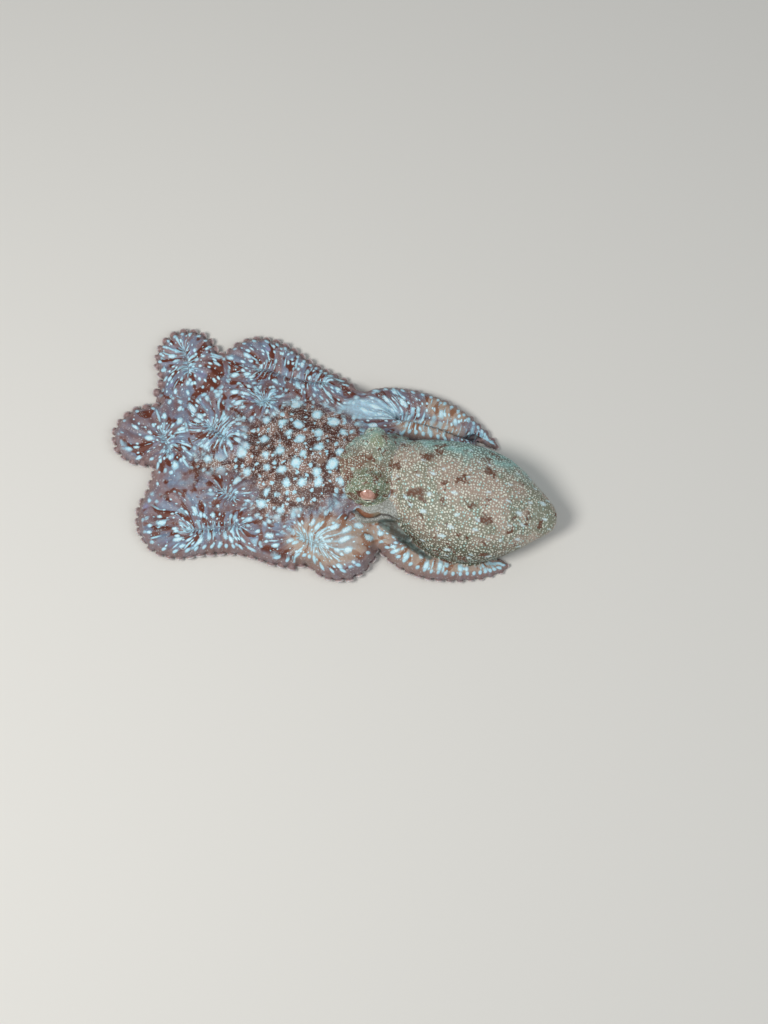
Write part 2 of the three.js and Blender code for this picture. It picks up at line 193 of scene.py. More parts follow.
def shade_smooth(thing):
    thing.data.polygons.foreach_set("use_smooth", np.ones(len(thing.data.polygons), bool))


def dress(thing, material):
    thing.data.materials.clear()
    thing.data.materials.append(material)


def apply_modifier(thing, kind, **settings):
    only(thing)
    modifier = thing.modifiers.new(kind.lower(), kind)
    for key, value in settings.items():
        setattr(modifier, key, value)
    bpy.ops.object.modifier_apply(modifier=modifier.name)


def values_of(items, key, width=3, kind=np.float32):
    """One property of all the vertices, edges or faces, as rows of that width."""
    flat = np.empty(len(items) * width, kind)
    items.foreach_get(key, flat)
    return flat.reshape(-1, width)


def points_of(thing):
    """Vertices of a mesh as rows of millimetres."""
    return values_of(thing.data.vertices, "co").astype(float) / MM


def set_points(thing, points):
    thing.data.vertices.foreach_set("co", (points * MM).astype(np.float32).ravel())
    thing.data.update()


def normals_of(thing):
    return values_of(thing.data.vertex_normals, "vector").astype(float)


def edges_of(thing):
    return values_of(thing.data.edges, "vertices", 2, np.int32)


def face_values(thing, key):
    return values_of(thing.data.polygons, key, 1 if key == "area" else 3).astype(float)


def tree_of(places):
    """A tree that finds the nearest of the places."""
    tree = KDTree(len(places))
    for k, place in enumerate(places):
        tree.insert(place, k)
    tree.balance()
    return tree


def blurred(values, edges, rounds):
    """Values of the vertices, averaged with their neighbours that many times."""
    values = values.astype(float)
    count = np.bincount(edges.ravel(), minlength=len(values)).astype(float)
    for _ in range(rounds):
        total = np.bincount(edges[:, 0], values[edges[:, 1]], len(values))
        total += np.bincount(edges[:, 1], values[edges[:, 0]], len(values))
        values = 0.5 * values + 0.5 * total / count
    return values


def ease(low, high, value):
    """0 below low, 1 above high, smooth between; low may be above high."""
    share = np.clip((value - low) / (high - low), 0, 1)
    return share * share * (3 - 2 * share)


def select_faces(thing, chosen):
    """Leaves exactly these faces of an object selected."""
    edit(thing)
    bpy.ops.mesh.select_mode(type="FACE")
    bpy.ops.mesh.select_all(action="DESELECT")
    leave()
    thing.data.polygons.foreach_set("select", chosen)


# ---- the skin's body ----
FLESH = [name for name in frame["nodes"] if not name.startswith("eye")]


def joined_flesh():
    """Copies of all the solids, swollen a little and joined in one object."""
    only(*frame["nodes"].values(), frame["nodes"]["mantle"])
    bpy.ops.object.duplicate()
    bpy.ops.object.parent_clear(type="CLEAR_KEEP_TRANSFORM")
    copies = list(bpy.context.selected_objects)
    for copy in copies:
        del copy["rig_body"]
        del copy["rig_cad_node"]
    mantle = bpy.context.active_object
    edit_all(mantle)
    bpy.ops.mesh.remove_doubles(threshold=MERGE_GAP * MM)
    bpy.ops.mesh.tris_convert_to_quads(face_threshold=0.9, shape_threshold=0.9)
    leave()
    apply_modifier(mantle, "SUBSURF", levels=3, render_levels=3)
    edit_all(mantle)
    bpy.ops.transform.shrink_fatten(value=MANTLE_SWELL * MM)
    leave()
    only(*[c for c in copies if c != mantle], mantle)
    bpy.ops.object.join()
    whole = bpy.context.active_object
    whole.name = whole.data.name = "skin"
    edit_all(whole)
    bpy.ops.mesh.remove_doubles(threshold=MERGE_GAP * MM)
    bpy.ops.transform.shrink_fatten(value=BRIDGE * MM)
    leave()
    return whole


def outward(side, tilt):
    """The way out of the head on one side, that far above level."""
    return np.array((0, EYES[side]["side"] * math.cos(tilt), math.sin(tilt)))


def slit_axes(gaze):
    """The axes of an eye that looks that way: along its slit, and up."""
    along = np.array((math.cos(EYE_SLANT), math.sin(EYE_SLANT), 0))
    along -= gaze * (along @ gaze)
    along /= np.linalg.norm(along)
    up = np.cross(gaze, along)
    return along, up * np.sign(up[2])


def eye_setting(side):
    """The middle of an eyeball, and the axes of the almond between its lids."""
    low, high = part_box("eye_" + side)
    middle = (np.array(low) + np.array(high)) / 2 / MM + EYE_FORWARD * outward(side, EYE_LEAN)
    gaze = outward(side, math.radians(EYES[side]["tilt"]))
    return middle, gaze, *slit_axes(gaze)


def refine_near(thing, middle, radius):
    """Divides the faces round a point in four."""
    near = np.linalg.norm(face_values(thing, "center") / MM - middle, axis=1) < radius
    select_faces(thing, near)
    edit(thing)
    bpy.ops.mesh.subdivide(number_cuts=1, smoothness=0)
    leave()


def level_sole(thing):
    """Presses the sole flat on the ground and thins out its faces."""
    points = points_of(thing)
    points[:, 2] = np.where(points[:, 2] < SOLE_HEIGHT, 0, points[:, 2])
    set_points(thing, points)
    middles = face_values(thing, "center") / MM
    low = (middles[:, 2] < 0.01) & (face_values(thing, "normal")[:, 2] < -0.99)
    select_faces(thing, low)
    edit(thing)
    bpy.ops.mesh.decimate(ratio=SOLE_SHARE)
    leave()


skin = joined_flesh()
apply_modifier(skin, "REMESH", mode="VOXEL", voxel_size=GRAIN * MM, adaptivity=0)
apply_modifier(skin, "SMOOTH", factor=0.5, iterations=SMOOTHINGS)
level_sole(skin)
for side in EYES:
    for radius in EYE_ZONES:
        refine_near(skin, eye_setting(side)[0], radius)
shade_smooth(skin)

points = points_of(skin)
edges = edges_of(skin)


def part_numbers(points):
    """For each point, the number in FLESH of the solid that it is nearest to."""
    corners, faces, owners = [], [], []
    for number, name in enumerate(FLESH):
        mesh = frame["nodes"][name].data
        first = len(corners)
        corners += [tuple(v.co) for v in mesh.vertices]
        for face in mesh.polygons:
            faces.append([first + i for i in face.vertices])
            owners.append(number)
    tree = BVHTree.FromPolygons(corners, faces)
    owners = np.array(owners)
    return owners[[tree.find_nearest(Vector(p * MM))[2] for p in points]]


numbers = part_numbers(points)


def share_of(prefix, rounds):
    """How much each vertex belongs to the parts whose names start with a word."""
    chosen = [k for k, name in enumerate(FLESH) if name.startswith(prefix)]
    return blurred(np.isin(numbers, chosen), edges, rounds)


mantle_share = share_of("mantle", 8)
head_share = share_of("head", 10)
crown_share = share_of("arm_crown", 40)
funnel_share = share_of("funnel", 5)
limb_share = 1 - np.clip(mantle_share + head_share + funnel_share, 0, 1)

# ---- pleats ----
def rim_distances(points, normals):
    """Plan distance of each vertex to the outline of the spread arms."""
    rim = (np.abs(normals[:, 2]) < 0.35) & (points[:, 2] < 5) & (limb_share > 0.5)
    plan = points * (1, 1, 0)
    tree = tree_of(plan[rim])
    return np.array([tree.find(place)[2] for place in plan])


def pleat_lines(points):
    """Where each vertex lies on the pleats round the nearest crease."""
    x, y = points[:, 0], points[:, 1]
    long, short = SWAYS
    wavy = x + long * np.sin(y / 4.1 + 2 * np.sin(x / 11)) + short * np.sin(y / 1.9 + x / 5)
    wavy = wavy + 1j * (y + long * np.sin(x / 4.7 + 2 * np.sin(y / 9)) + short * np.sin(x / 2.1))
    best = np.full(len(points), np.inf)
    second = np.full(len(points), np.inf)
    found = {key: np.zeros(len(points)) for key in ("turn", "count", "run", "pitch", "seed")}
    for seed, (start, end, count, reach) in enumerate(CREASES):
        middle = complex(*start) / 2 + complex(*end) / 2
        half = complex(*end) - middle
        flat = np.arccosh((wavy - middle) / half + 0j)
        spread = abs(half) * np.sqrt(np.sinh(flat.real) ** 2 + np.sin(flat.imag) ** 2)
        share = (wavy - middle) / half
        beside = np.abs(share - np.clip(share.real, -1, 1)) * abs(half)
        score = beside / reach
        closer = score < best
        second = np.where(closer, best, np.minimum(second, score))
        best = np.where(closer, score, best)
        news = {"turn": flat.imag, "count": count, "run": beside, "seed": seed,
                "pitch": spread * 2 * math.pi / count}
        for key, value in news.items():
            found[key] = np.where(closer, value, found[key])
    found["score"] = best
    found["margin"] = second - best
    return found


def softened(points, mask, rounds):
    """The points, drawn towards the middles of their neighbours as far as the mask says."""
    soft = np.stack([blurred(points[:, k], edges, rounds) for k in range(3)], 1)
    return points + (soft - points) * mask[:, None]


rim_distance = rim_distances(points, normals_of(skin))
high = ease(9, 14, points[:, 2])
wide_mantle = share_of("mantle", 70)
wide_head = share_of("head", 70)
neck = np.clip(7 * wide_mantle * wide_head, 0, 1) * high
neck = np.maximum(neck, np.clip(7 * wide_head * (1 - wide_head - wide_mantle), 0, 0.8) * high)
backs = limb_share * ease(2.0, 5.0, rim_distance) * ease(2, 4, points[:, 2])
points = softened(points, np.maximum(neck, 0.9 * backs), NECK_SOFTENINGS)
set_points(skin, points)
normals = normals_of(skin)
pleats = pleat_lines(points)
pleat_share = ease(1.2, 0.85, pleats["score"]) * limb_share
pleat_share = pleat_share * (1 - 0.7 * crown_share)


def patch_share(patch, full=0.7):
    """1 in the middle of an oval patch of the plan, easing to 0 at its edge."""
    (x, y), half_long, half_wide = patch
    gap = np.hypot((points[:, 0] - x) / half_long, (points[:, 1] - y) / half_wide)
    return ease(1.1, full, gap)


def line_gap(line):
    """Distance of each vertex to a line of points, in plan where the line has no heights."""
    here = points[:, :len(line[0])]
    gap = np.full(len(points), np.inf)
    for start, end in zip(np.array(line[:-1]), np.array(line[1:])):
        way = end - start
        share = np.clip((here - start) @ way / (way @ way), 0, 1)
        gap = np.minimum(gap, np.linalg.norm(here - start - share[:, None] * way, axis=1))
    return gap


cuts = [np.exp(-(line_gap(line) / half_wide) ** 2) for line, half_wide, _ in CUTS]
cut_share = np.max(cuts, axis=0)


def relief():
    """How far the skin sinks below its smooth shape."""
    place = (pleats["turn"] / (2 * math.pi) + 0.5) * pleats["count"]
    across = place - np.floor(place) - 0.5
    bottom = np.abs(2 * across) ** 1.6
    deep = np.minimum(PLEAT_DEPTH * pleats["pitch"], DEEPEST_PLEAT)
    deep = deep * ease(1.4, 2.6, pleats["pitch"])
    deep = deep * np.where(pleats["count"] > LONG_CREASE, LONG_CREASE_SHARE, 1)
    sink = deep * bottom * pleat_share
    sink += CREASE_DEPTH * np.exp(-(pleats["run"] / CREASE_HALF_WIDTH) ** 2) * limb_share
    sink *= ease(0, VALLEY_HALF_WIDTH, pleats["margin"])
    sink += VALLEY_DEPTH * np.exp(-(pleats["margin"] / VALLEY_HALF_WIDTH) ** 2) * pleat_share
    sink += GROOVE_DEPTH * np.clip(4 * mantle_share * limb_share, 0, 1)
    for cut, (_, _, depth) in zip(cuts, CUTS):
        sink += depth * cut
    body = np.clip(mantle_share + head_share, 0, 1)
    swell = [noise.noise(Vector(p / 13)) + 0.4 * noise.noise(Vector(p / 5)) for p in points]
    return sink + UNEVENNESS * (1 + np.array(swell)) * body


above_ground = ease(0.0, 2.5, points[:, 2])
points = points - normals * (relief() * above_ground)[:, None]


# ---- lids ----
def almond_margin(side, points):
    """Distance along the eyeball from the edge of the almond, negative inside it."""
    shape = EYES[side]
    middle, gaze, along, up = eye_setting(side)
    ray = points - middle
    far = np.linalg.norm(ray, axis=1)
    ray = ray / far[:, None]
    arc = np.arccos(np.clip(ray @ gaze, -1, 1)) * EYE_RADIUS
    flat = np.stack((ray @ along, ray @ up))
    x, y = flat * arc / np.maximum(np.linalg.norm(flat, axis=0), 1e-6)
    half_height = np.where(y > 0, shape["upper"], shape["lower"])
    share = x / ALMOND_HALF_LENGTH
    margin = np.abs(y) - half_height * (1 - share * share)
    margin /= np.hypot(1, 2 * half_height * share / ALMOND_HALF_LENGTH)
    return margin, x, y, far, ray, middle


lid_brown = np.zeros(len(points))
lid_edge = np.zeros(len(points))
for side in EYES:
    margin, x, y, far, ray, middle = almond_margin(side, points)
    near = (far < LID_REACH) & ((margin < 5) | (far < EYE_RADIUS + 1))
    lid = EYE_RADIUS + LID_THICKNESS * ease(-0.2, 0.8, margin)
    fold = sum(height * np.exp(-((margin - at) / half_wide) ** 2)
               for at, half_wide, height in LID_FOLDS)
    held = ease(4.2, 0.9, margin) * ease(0.4, 0.1, funnel_share)
    radius = far * (1 - held) + (lid + 0.2 * margin + fold) * held
    radius = np.maximum(radius, lid)
    inside = ease(0.14, -0.14, margin)
    radius = radius * (1 - inside) + (EYE_RADIUS - INNER_DEPTH) * inside
    points = np.where(near[:, None], middle + ray * radius[:, None], points)
    corner = np.abs(y) - CORNER_HALF_HEIGHT * (1 - (x / CORNER_HALF_LENGTH) ** 2)
    brown = ease(0.35, -0.35, corner) * ease(2.0, 2.6, np.abs(x)) * near
    lid_brown = np.maximum(lid_brown, brown)
    lid_edge += ease(0.6, 0.3, margin) * ease(0.2, -0.8, y) * near
set_points(skin, points)


# ---- suckers along the rims ----
def rim_lines():
    """The skin's outline a little above the ground, as lines of points."""
    only(skin)
    bpy.ops.object.duplicate()
    copy = bpy.context.active_object
    edit_all(copy)
    bpy.ops.mesh.bisect(plane_co=(0, 0, RIM_HEIGHT * MM), plane_no=(0, 0, 1), clear_inner=True,
                        clear_outer=True)
    leave()
    places = points_of(copy)
    beside = {}
    for one, other in edges_of(copy):
        beside.setdefault(one, []).append(other)
        beside.setdefault(other, []).append(one)
    bpy.data.objects.remove(copy)
    lines, seen = [], set()
    for start in sorted(beside):
        line, here = [], None if start in seen else start
        for _ in range(2):
            while here is not None:
                seen.add(here)
                line.append(here)
                here = next((k for k in beside[here] if k not in seen), None)
            line.reverse()
            here = next((k for k in beside[start] if k not in seen), None) if line else None
        if len(line) > SHORTEST_RIM:
            lines.append(places[line])
    return lines


def spaced(line, step):
    """Points at even steps along a line."""
    gaps = np.linalg.norm(np.diff(line, axis=0), axis=1)
    run = np.concatenate(([0], np.cumsum(gaps)))
    count = max(3, round(run[-1] / step))
    at = np.arange(count) * run[-1] / count
    return np.stack([np.interp(at, run, line[:, k]) for k in range(3)], 1)


def sucker_cup():
    """One cup, opening upwards: a short stalk, a flared lip and a hollow."""
    only()
    bpy.ops.mesh.primitive_cylinder_add(vertices=12, radius=STALK_RADIUS * MM, depth=0.7 * MM)
    cup = bpy.context.active_object
    for rise, grow in CUP_RINGS:
        level = face_values(cup, "normal")[:, 2] > 0.99
        select_faces(cup, level & (face_values(cup, "area")[:, 0] > 0.2 * MM * MM))
        edit(cup)
        bpy.ops.mesh.extrude_region_move(TRANSFORM_OT_translate={"value": (0, 0, rise * MM)})
        bpy.ops.transform.resize(value=(grow, grow, 1))
        leave()
    shape = points_of(cup)
    lip = cup.data.attributes.new("lip", "FLOAT", "POINT")
    high = np.hypot(shape[:, 0], shape[:, 1]) > 0.85
    lip.data.foreach_set("value", (high & (shape[:, 2] > 0.6)).astype(np.float32))
    shade_smooth(cup)
    return cup


rims = [spaced(line, SUCKER_PITCH / RIM_STEPS) for line in rim_lines()]
rim_tree = tree_of(np.concatenate(rims))
rim_phase = np.concatenate([np.arange(len(rim)) % RIM_STEPS / RIM_STEPS for rim in rims])
normals = normals_of(skin)
edging = np.flatnonzero((rim_distance < 3.5) & (limb_share > 0.5) & (points[:, 2] < 6))
for k in edging:
    _, at, gap = rim_tree.find(points[k])
    wave = math.cos(2 * math.pi * rim_phase[at])
    out = SCALLOP * wave * float(ease(4.5, 0.8, gap))
    points[k] += out * normals[k] * (1, 1, 0)
set_points(skin, points)

skin_tree = BVHTree.FromPolygons([tuple(p) for p in points],
                                 [tuple(f.vertices) for f in skin.data.polygons])
vertex_tree = tree_of(points)
cup = sucker_cup()
cup_shape = points_of(cup)
cups, taken = [], []
luck = np.random.default_rng(7)
for rim in rims:
    for place in rim[::RIM_STEPS]:
        _, k, _ = vertex_tree.find(place)
        out = normals[k] * (1, 1, 0)
        if limb_share[k] < 0.7 or np.linalg.norm(out) < 0.3:
            continue
        out /= np.linalg.norm(out)
        if skin_tree.ray_cast(Vector(place + 0.8 * out), Vector(out), SUCKER_ROOM)[0]:
            continue
        if any(np.linalg.norm(place - other) < 0.75 * SUCKER_PITCH for other in taken):
            continue
        taken.append(place)
        size = SUCKER_RADIUS * (1 - SHRINK * float(ease(*SMALL_SUCKERS, place[0])))
        size *= luck.uniform(*SUCKER_SIZES)
        droop = math.radians(luck.uniform(*SUCKER_DROOPS))
        axis = Vector(out * math.cos(droop) + (0, 0, -math.sin(droop)))
        turn = axis.to_track_quat("Z", "Y").to_matrix()
        shape = cup_shape * size @ np.array(turn).T
        middle = place - out * SUCKER_INSET * size
        middle[2] = max(RIM_HEIGHT, 0.05 - shape[:, 2].min())
        copy = cup.copy()
        copy.data = cup.data.copy()
        bpy.context.scene.collection.objects.link(copy)
        set_points(copy, shape + middle)
        cups.append(copy)
bpy.data.objects.remove(cup)
only(*cups)
bpy.ops.object.join()
suckers = bpy.context.active_object
suckers.name = suckers.data.name = "suckers"


# ---- what the skin's colours follow ----
def mantle_lie(points):
    """Distances along the mantle and round it from the middle of its back, and its end's share."""
    corners = np.array([v.co[:] for v in frame["nodes"]["mantle"].data.vertices]) / MM
    axis = np.array((math.cos(MANTLE_HEADING), math.sin(MANTLE_HEADING)))
    side = np.array((-axis[1], axis[0]))
    order = np.argsort(corners[:, :2] @ axis)
    gaps = np.flatnonzero(np.diff(corners[order, :2] @ axis) > 1) + 1
    rings = [corners[ring] for ring in np.split(order, gaps)]
    steps = [(ring[:, :2] @ axis).mean() for ring in rings]
    reaches = np.array([((ring[:, :2] @ side).min(), (ring[:, :2] @ side).max())
                        for ring in rings])
    middles = reaches.mean(axis=1)
    halves = np.ptp(reaches, axis=1) / 2
    tops = [ring[:, 2].max() for ring in rings]
    run = np.concatenate(([0], np.cumsum(np.hypot(np.diff(steps), np.diff(tops)))))
    here = points[:, :2] @ axis
    beside = points[:, :2] @ side - np.interp(here, steps, middles)
    half = np.interp(here, steps, halves)
    top = np.interp(here, steps, tops)
    level = WAIST * top
    angle = np.arctan2(beside / half, (points[:, 2] - level) / (top - level))
    arc = np.zeros(len(points))
    for k in range(ARC_STEPS):
        part = angle * (k + 0.5) / ARC_STEPS
        arc += np.hypot(half * np.cos(part), (top - level) * np.sin(part)) * angle / ARC_STEPS
    length = np.interp(here, steps, run) + np.minimum(here - steps[0], 0)
    return (length + np.maximum(here - steps[-1], 0) * 1.6, arc,
            ease(steps[-1] - 12, steps[-1] - 7, here))


def store(name, *columns):
    """Keeps three numbers for each vertex of the skin, for its material to read."""
    columns = [np.broadcast_to(column, len(points)) for column in columns]
    layer = skin.data.attributes.new(name, "FLOAT_VECTOR", "POINT")
    layer.data.foreach_set("vector", np.stack(columns, 1).astype(np.float32).ravel())


lie_along, lie_round, mantle_end = mantle_lie(points)
store("pleat_turn", np.cos(pleats["turn"]), np.sin(pleats["turn"]), pleats["count"])
store("pleat_run", pleats["run"], pleats["pitch"], pleats["seed"])
store("pleat_edge", pleat_share, np.minimum(pleats["margin"], 1), np.minimum(rim_distance, 30))
store("body_shares", mantle_share, head_share, patch_share(SADDLE, 0.35))
store("small_shares", funnel_share, lid_brown, patch_share(QUIET))
ochre = np.max([patch_share(patch) for patch in OCHRE], axis=0)
bright = np.max([weight * patch_share(patch, 0.5) for *patch, weight in BRIGHT], axis=0)
edge_x, edge_y, edge_z = np.array(FUNNEL_EDGE).T
above = points[:, 1] - np.interp(points[:, 0], edge_x, edge_y)
above += points[:, 2] - np.interp(points[:, 0], edge_x, edge_z)
hollow_line, hollow_wide = HOLLOW
# Where the hollow below the funnel is painted with shade.
hollow = ease(1.3, 0.7, line_gap(hollow_line) / hollow_wide) * ease(0.8, -0.4, above)
store("tones", bright, ochre, hollow)
tip = ease(1.9, 1.1, line_gap(FUNNEL_TIP_LINE)) * ease(-0.6, 0.2, above)
# The first column says where shade is painted along the cuts.
store("cuts", ease(0.35, 0.85, cut_share), tip, mantle_end)
store("mantle_lie", lie_along, lie_round, lid_edge)

# ---- painting ----
def tint(red, green, blue):
    """A colour given as 0 to 255 on a screen, as the shader's linear numbers."""
    parts = [value / 255 for value in (red, green, blue)]
    parts = [p / 12.92 if p <= 0.04045 else ((p + 0.055) / 1.055) ** 2.4 for p in parts]
    return (*parts, 1)


def joining(operation, turned=False):
    """A sum or product that adds a node; turned, what it is called on comes second."""
    def join(one, other):
        pair = (other, one) if turned else (one, other)
        return one.paint.maths(operation, *pair)
    return join


class Value:
    """What a node gives. It takes part in sums and products as plain numbers do."""

    def __init__(self, paint, socket):
        self.paint = paint
        self.socket = socket

    __add__ = joining("ADD")
    __radd__ = joining("ADD", turned=True)
    __sub__ = joining("SUBTRACT")
    __rsub__ = joining("SUBTRACT", turned=True)
    __mul__ = joining("MULTIPLY")
    __truediv__ = joining("DIVIDE")


class Painter:
    """Adds nodes to one material; each call gives back the value that they arrive at."""

    def __init__(self, name):
        self.material = bpy.data.materials.new(name)
        self.material.use_nodes = True
        self.tree = self.material.node_tree
        self.shader = self.tree.nodes["Principled BSDF"]

    def feed(self, socket, value):
        """Links a value to a socket, or sets the socket to a plain number or colour."""
        if isinstance(value, Value):
            self.tree.links.new(value.socket, socket)
        else:
            socket.default_value = value

    def put(self, kind, sockets, out=0, **settings):
        node = self.tree.nodes.new("ShaderNode" + kind)
        for key, value in settings.items():
            setattr(node, key, value)
        for key, value in sockets.items():
            self.feed(node.inputs[key], value)
        return Value(self, node.outputs[out])

    def maths(self, operation, *values):
        return self.put("Math", dict(enumerate(values)), operation=operation)

    def most(self, *values):
        first = values[0]
        for other in values[1:]:
            first = self.maths("MAXIMUM", first, other)
        return first

    def ease(self, low, high, value):
        turned = low > high
        ends = {"From Min": min(low, high), "From Max": max(low, high)}
        ends.update({"To Min": float(turned), "To Max": float(not turned)})
        return self.put("MapRange", {"Value": value, **ends}, interpolation_type="SMOOTHSTEP")

    def mix(self, share, low, high):
        """A colour between low and high."""
        return self.put("Mix", {0: share, 6: low, 7: high}, out=2, data_type="RGBA")

    def blend(self, share, low, high):
        """A number between low and high."""
        return self.put("Mix", {0: share, 2: low, 3: high}, data_type="FLOAT")

    def vector(self, x=0.0, y=0.0, z=0.0):
        return self.put("CombineXYZ", {0: x, 1: y, 2: z})

    def parts(self, vector):
        node = self.put("SeparateXYZ", {0: vector}).socket.node
        return [Value(self, output) for output in node.outputs]

    def stored(self, name):
        return self.parts(self.put("Attribute", {}, out="Vector", attribute_name=name))

    def millimetres(self):
        place = self.put("TexCoord", {}, out="Object")
        return self.put("VectorMath", {0: place, "Scale": 1000.0}, operation="SCALE")

    def noise(self, place, size, detail=2.0, rough=0.5, out=0):
        sockets = {"Vector": place, "Scale": 1 / size, "Detail": detail, "Roughness": rough}
        return self.put("TexNoise", sockets, out=out)

    def swing(self, place, size, amount, detail=2.0, rough=0.5):
        """Noise that swings either side of nothing."""
        return (self.noise(place, size, detail, rough) - 0.5) * amount

    def waver(self, place, size, amount):
        """The place, moved about by up to the amount."""
        cloud = self.noise(place, size, 1.0, out="Color")
        cloud = self.put("VectorMath", {0: cloud, 1: (0.5, 0.5, 0.5)}, operation="SUBTRACT")
        cloud = self.put("VectorMath", {0: cloud, "Scale": 2 * amount}, operation="SCALE")
        return self.put("VectorMath", {0: place, 1: cloud}, operation="ADD")

    def cells(self, place, size, scatter, flat=True):
        """Distance to the nearest of the scattered points, and that point's own three numbers."""
        sockets = {"Vector": place, "Scale": 1 / size, "Randomness": scatter}
        far = self.put("TexVoronoi", sockets, voronoi_dimensions="2D" if flat else "3D")
        luck = Value(self, far.socket.node.outputs["Color"])
        return far * size, self.parts(luck)

    def chances(self, vector):
        """Three random numbers of a vector's own."""
        return self.parts(self.put("TexWhiteNoise", {"Vector": vector}, out="Color"))

    def distance(self, one, other):
        return self.put("VectorMath", {0: one, 1: other}, operation="DISTANCE", out="Value")

    def length(self, vector):
        return self.put("VectorMath", {0: vector}, operation="LENGTH", out="Value")

    def surface(self, **values):
        """Sets what the surface does, and gives back the material."""
        for key, value in values.items():
            self.feed(self.shader.inputs[key.replace("_", " ")], value)
        return self.material

    def fleshy(self, weight):
        """Lets the light a little way into the surface."""
        self.surface(Subsurface_Weight=weight, Subsurface_Radius=(0.8, 0.45, 0.3),
                     Subsurface_Scale=MM)

    def finish(self, colour, rough, height):
        bump = self.put("Bump", {"Height": height, "Distance": MM, "Strength": 1.0})
        return self.surface(Base_Color=colour, Roughness=rough, Normal=bump)


# Spacing of the patterns' scattered points, in millimetres.
FINE_FRECKLES = 0.8
CROWN_BLOTCHES = 8.4
SMALL_BLOTCHES = 3.5
LIMB_FRECKLES = 1.3
LOOSE_SPOTS = 3.8
MANTLE_DOTS = 1.25
END_DOTS = 1.05
MANTLE_SPOTS = 6.4
HEAD_PATCHES = 4.2
FUNNEL_GRAINS = 0.7
# Spots in the rows between the pleats: spacing, longest half length, width as a share of that, and
# the share of the places left empty.
LARGE_SPOTS = (5.4, 2.6, 0.62, 0.3)
LONG_RAYS = (10, 3.8, 0.17, 0.55)
SMALL_SPOTS = (3.2, 1.05, 0.75, 0.34)
# Finishes.
MAUVE = tint(116, 90, 92)
HAZE = tint(122, 152, 180)
LAVENDER = tint(146, 156, 196)
LILAC = tint(140, 120, 124)
RUST = tint(98, 42, 22)
CYAN = tint(178, 236, 255)
PALE_CYAN = tint(220, 246, 254)
FRECKLE = tint(190, 190, 190)
RIM = tint(140, 118, 114)
CROWN_GROUND = tint(142, 110, 98)
CROWN_GREY = tint(128, 104, 92)
CROWN_DARK = tint(72, 30, 16)
CROWN_FRECKLE = tint(222, 226, 226)
BRIGHT_HAZE = tint(186, 224, 244)
OCHRE_GROUND = tint(180, 160, 142)
OCHRE_DARK = tint(140, 98, 72)
# Painted shade for the hollow below the funnel, and the paler teal of the folds in it.
HOLLOW_SHADE = tint(76, 74, 66)
HOLLOW_SHADE_PALE = tint(136, 164, 160)
TAUPE = tint(176, 156, 142)
GREY_GREEN = tint(136, 138, 120)
NEAR_GREEN = tint(84, 82, 64)
TEAL = tint(104, 134, 128)
EYE_GREEN = tint(122, 138, 112)
HEAD_GROUND = tint(130, 104, 86)
FAR_LIGHT = tint(150, 206, 202)
LID_BROWN = tint(92, 52, 32)
FAR_DOTS = tint(204, 238, 232)
YELLOW_GREEN = tint(168, 170, 104)
CREAM = tint(224, 226, 212)
TURQUOISE = tint(190, 226, 220)
BROWN = tint(100, 48, 22)
FUNNEL_GREY = tint(140, 142, 136)
FUNNEL_OLIVE = tint(124, 116, 96)
GRAINS = tint(196, 200, 196)
# Painted shade along the cuts and the slit.
CUT_SHADE = tint(52, 34, 30)
FUNNEL_TIP = tint(130, 82, 50)
IRIS = tint(204, 158, 144)
IRIS_DARK = tint(160, 112, 94)
PUPIL_RING = tint(222, 204, 190)
PUPIL = tint(16, 12, 12)
SUCKER = tint(130, 104, 104)
SUCKER_LIGHT = tint(156, 132, 130)
SUCKER_LIP = tint(208, 206, 206)
# Dark patches on the mantle: middle in plan, half length, half width.
MANTLE_PATCHES = [((36.8, -27.1), 5.4, 1.9), ((42.4, -10.3), 3.2, 2.4), ((26.2, -24.4), 1.9, 1.2)]


def lane_spots(paint, place, lanes, run, pitch, seed, kind):
    """Spots of one kind in rows along the pleats, each a little off the middle of its stretch."""
    spacing, longest, widest, rarity = kind
    lane = paint.maths("FLOOR", lanes)
    across = (lanes - lane - 0.5) * pitch
    lane_luck = paint.put("TexWhiteNoise", {"Vector": paint.vector(lane, seed, spacing)})
    along = run * (1 / spacing) + lane_luck * 7
    cell = paint.maths("FLOOR", along)
    size, shift, chance = paint.chances(paint.vector(lane, cell, seed))
    offset = along - cell - 0.5
    offset = (offset - (shift - 0.5) * 0.5) * spacing
    across = across + (shift - 0.5) * pitch * 0.3
    half_long = paint.blend(size * size, 0.3 * longest, longest)
    half_wide = paint.maths("MINIMUM", half_long * widest, pitch * 0.4)
    gap = paint.vector(across / half_wide, offset / half_long)
    gap = paint.length(gap) + paint.swing(place, 0.9, 0.9, 3.0)
    return paint.ease(1.35, 0.45, gap) * paint.ease(rarity, rarity + 0.05, chance)


def fine_freckles(paint, place):
    """The close-set raised freckles of the crown and the head, and each one's own numbers."""
    far, luck = paint.cells(place, FINE_FRECKLES, 0.8, flat=False)
    far = far + luck[1] * 0.1
    return paint.ease(0.42, 0.22, far), luck


